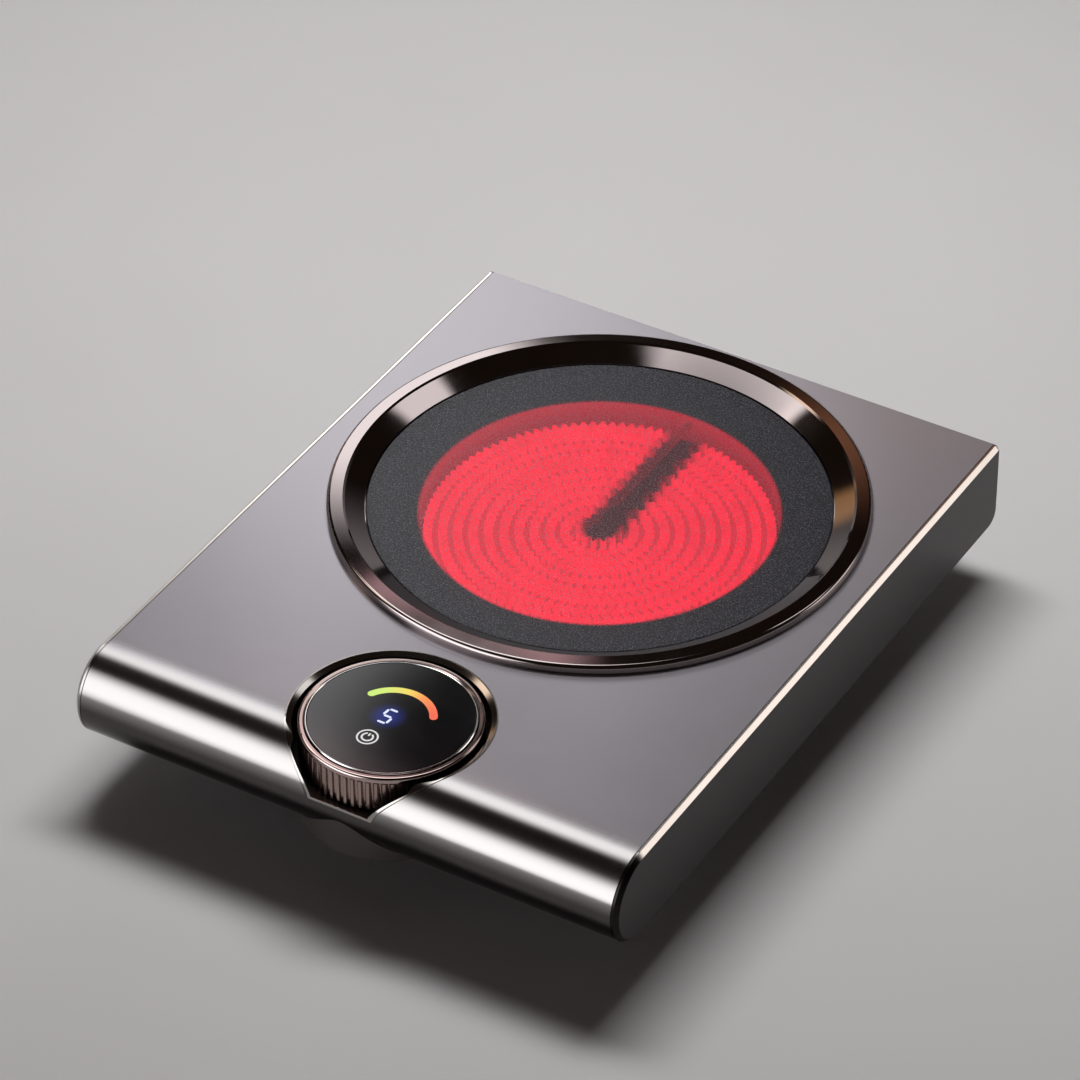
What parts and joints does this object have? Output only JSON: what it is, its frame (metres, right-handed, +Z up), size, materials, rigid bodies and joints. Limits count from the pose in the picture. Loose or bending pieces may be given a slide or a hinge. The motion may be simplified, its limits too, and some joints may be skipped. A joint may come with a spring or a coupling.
{
  "type": "ceramic hot plate",
  "caption": "Flat metal ceramic hot plate with a round bullnose front, a glass hob in a polished ring, and a fluted knob turning round a small display.",
  "frame": {"origin": "bottom centre of the part on the table, midway between the front and the back", "axes": "+X to the right seen from the knob side, +Y from the knob to the back, +Z up"},
  "size_m": [0.28, 0.3572, 0.077],
  "materials": {
    "shell_metal": "satin titanium-grey",
    "end_metal": "satin titanium-grey",
    "screw_steel": "zinc plated",
    "base_sheet": "dark grey paint",
    "tub_plastic": "matt black",
    "foot_rubber": "matt",
    "gland_plastic": "matt black",
    "rose_chrome": "polished rose gold",
    "bracket_steel": "bare sheet",
    "seal_rubber": "matt",
    "hob_glass": "dark, finely speckled",
    "pan_steel": "bare sheet",
    "insulation": "pressed fibre",
    "ribbon_alloy": "oxidised, red hot",
    "rod_steel": "oxidised",
    "terminal_ceramic": "cream",
    "well_metal": "dark polished",
    "post_steel": "turned",
    "bearing_plastic": "natural",
    "grip_metal": "dark rose, fluted",
    "bezel_chrome": "polished rose gold",
    "core_plastic": "black",
    "encoder_case": "blue grey",
    "board_green": "solder mask",
    "display_leds": "light guides",
    "key_switch": "grey",
    "display_black": "polished black",
    "rim_chrome": "polished",
    "fan_plastic": "black",
    "standoff_brass": "turned",
    "sink_aluminium": "extruded",
    "relay_plastic": "blue",
    "capacitor_plastic": "yellow",
    "transformer_plastic": "tape"
  },
  "bodies": {
    "body": {"top_shell": "shell_metal", "left_end_plate": "end_metal", "right_end_plate": "end_metal", "end_plate_screws": "screw_steel", "bottom_plate": "base_sheet", "bottom_plate_screws": "screw_steel", "base_tub": "tub_plastic", "base_tub_screws": "screw_steel", "rubber_feet": "foot_rubber", "cord_gland": "gland_plastic", "trim_ring": "rose_chrome", "ring_clamps": "bracket_steel", "ring_clamp_screws": "screw_steel", "glass_seal": "seal_rubber", "glass_plate": "hob_glass", "heater_pan": "pan_steel", "heater_insulation": "insulation", "heating_ribbon": "ribbon_alloy", "limiter_rod": "rod_steel", "limiter_switch": "terminal_ceramic", "heater_terminal": "terminal_ceramic", "heater_bridge": "bracket_steel", "bridge_screws": "screw_steel", "knob_well": "well_metal", "well_posts": "post_steel", "knob_hub": "bearing_plastic", "knob_spacer": "bearing_plastic", "hub_clip": "screw_steel", "encoder": "encoder_case", "control_board": "board_green", "control_board_screws": "screw_steel", "display_carrier": "core_plastic", "carrier_screws": "screw_steel", "display_board": "board_green", "display_lights": "display_leds", "power_key_switch": "key_switch", "fan_frame": "fan_plastic", "fan_screws": "screw_steel", "power_board": "board_green", "board_standoffs": "standoff_brass", "heat_sink": "sink_aluminium", "power_relay": "relay_plastic", "filter_capacitor": "capacitor_plastic", "board_transformer": "transformer_plastic", "mains_terminals": "terminal_ceramic"},
    "knob": {"knob_grip": "grip_metal", "knob_bezel": "bezel_chrome", "knob_core": "core_plastic"},
    "display": {"display_glass": "display_black", "display_rim": "rim_chrome", "display_frame": "core_plastic"},
    "pinion": {"encoder_pinion": "bearing_plastic"},
    "fan": {"fan_rotor": "fan_plastic"}
  },
  "joints": [
    {"name": "knob_turn", "type": "hinge", "parent": "body", "child": "knob", "pos_m": [0, -0.1345, 0.062], "axis": [0, 0, 1], "continuous": true},
    {"name": "display_press", "type": "slide", "parent": "body", "child": "display", "axis": [0, 0, -1], "range_m": [0, 0.0005], "stiffness_N_per_m": 3000, "springref_m": -0.0003},
    {"name": "pinion_turn", "type": "hinge", "parent": "body", "child": "pinion", "pos_m": [0.0176, -0.1345, 0.056], "axis": [0, 0, 1], "continuous": true},
    {"name": "fan_spin", "type": "hinge", "parent": "body", "child": "fan", "pos_m": [-0.045, -0.044, 0.019], "axis": [0, 0, 1], "continuous": true}
  ],
  "couplings": [
    {"joint": "pinion_turn", "follows": "knob_turn", "ratio": 3.75}
  ]
}
